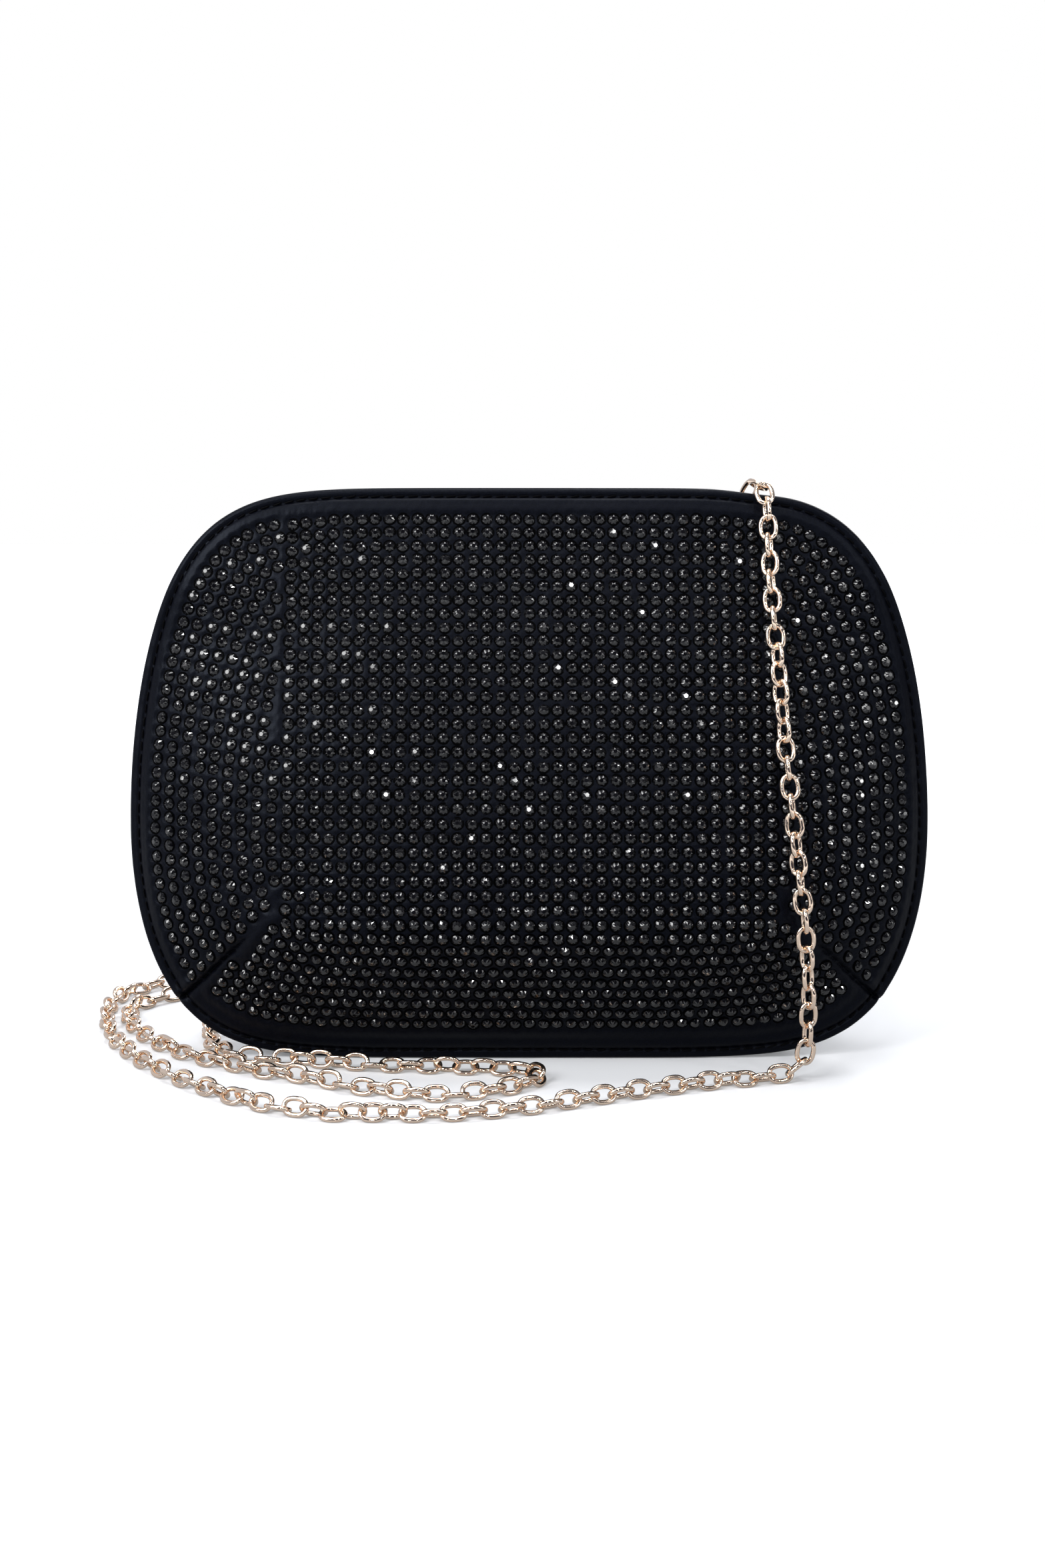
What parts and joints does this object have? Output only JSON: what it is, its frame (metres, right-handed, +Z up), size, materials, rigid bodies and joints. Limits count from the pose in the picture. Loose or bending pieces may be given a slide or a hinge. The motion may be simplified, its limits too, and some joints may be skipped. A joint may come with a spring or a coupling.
{
  "type": "evening bag",
  "caption": "Small padded satin evening bag with a stone-set front panel, a soft magnetic top opening and a detachable cable-chain strap lying on the floor.",
  "frame": {"origin": "on the surface the bag stands on, under the middle of the bag's box without the strap", "axes": "+Z up, +X to the right as seen from the front, the stone-set front faces -Y"},
  "size_m": [0.2375, 0.13, 0.1595],
  "materials": {
    "satin": "black satin weave, soft sheen",
    "foam": "matt foam",
    "lining": "fine twill lining",
    "stones": "faceted jet glass",
    "thread": "polyester thread",
    "snap_metal": "polished rose gold plate",
    "washer_steel": "plain steel",
    "rose_gold": "polished rose gold plate",
    "chain_metal": "polished rose gold plate"
  },
  "bodies": {
    "bag": {"front_satin": "satin", "front_foam": "foam", "front_lining": "lining", "back_satin": "satin", "back_foam": "foam", "back_lining": "lining", "stones_middle": "stones", "stones_left": "stones", "stones_right": "stones", "front_topstitch": "thread", "inner_pocket": "lining", "snap_socket": "snap_metal", "snap_socket_washer": "washer_steel", "left_ring_tab": "satin", "right_ring_tab": "satin", "chain": "chain_metal", "right_jump_ring": "rose_gold", "right_clasp": "rose_gold", "left_jump_ring": "rose_gold", "left_clasp": "rose_gold"},
    "back_lip": {"back_lip_satin": "satin", "back_lip_foam": "foam", "back_lip_lining": "lining", "snap_stud": "snap_metal", "snap_stud_washer": "washer_steel"},
    "left_ring": {"left_d_ring": "rose_gold"},
    "right_ring": {"right_d_ring": "rose_gold"},
    "right_lever": {"right_clasp_lever": "rose_gold"},
    "left_lever": {"left_clasp_lever": "rose_gold"}
  },
  "joints": [
    {"name": "back_lip_fold", "type": "hinge", "parent": "bag", "child": "back_lip", "pos_m": [0, 0.01605, 0.11574], "axis": [-1, 0, 0], "range_deg": [0, 22], "stiffness_Nm_per_rad": 0.03},
    {"name": "left_ring_swing", "type": "hinge", "parent": "bag", "child": "left_ring", "pos_m": [-0.088, 0.00673, 0.10695], "axis": [0, 0.1392, 0.9903], "range_deg": [-25, 25]},
    {"name": "right_ring_swing", "type": "hinge", "parent": "bag", "child": "right_ring", "pos_m": [0.088, 0.00673, 0.10695], "axis": [0, 0.1392, 0.9903], "range_deg": [-2, 2]},
    {"name": "right_clasp_gate", "type": "hinge", "parent": "bag", "child": "right_lever", "pos_m": [0.0755, 0.01138, 0.1063], "axis": [0, -0.1392, -0.9903], "range_deg": [0, 14], "stiffness_Nm_per_rad": 0.0005},
    {"name": "left_clasp_gate", "type": "hinge", "parent": "bag", "child": "left_lever", "pos_m": [-0.03962, 0.04, 0.00218], "axis": [-0.061, 0, -0.9981], "range_deg": [0, 14], "stiffness_Nm_per_rad": 0.0005}
  ]
}
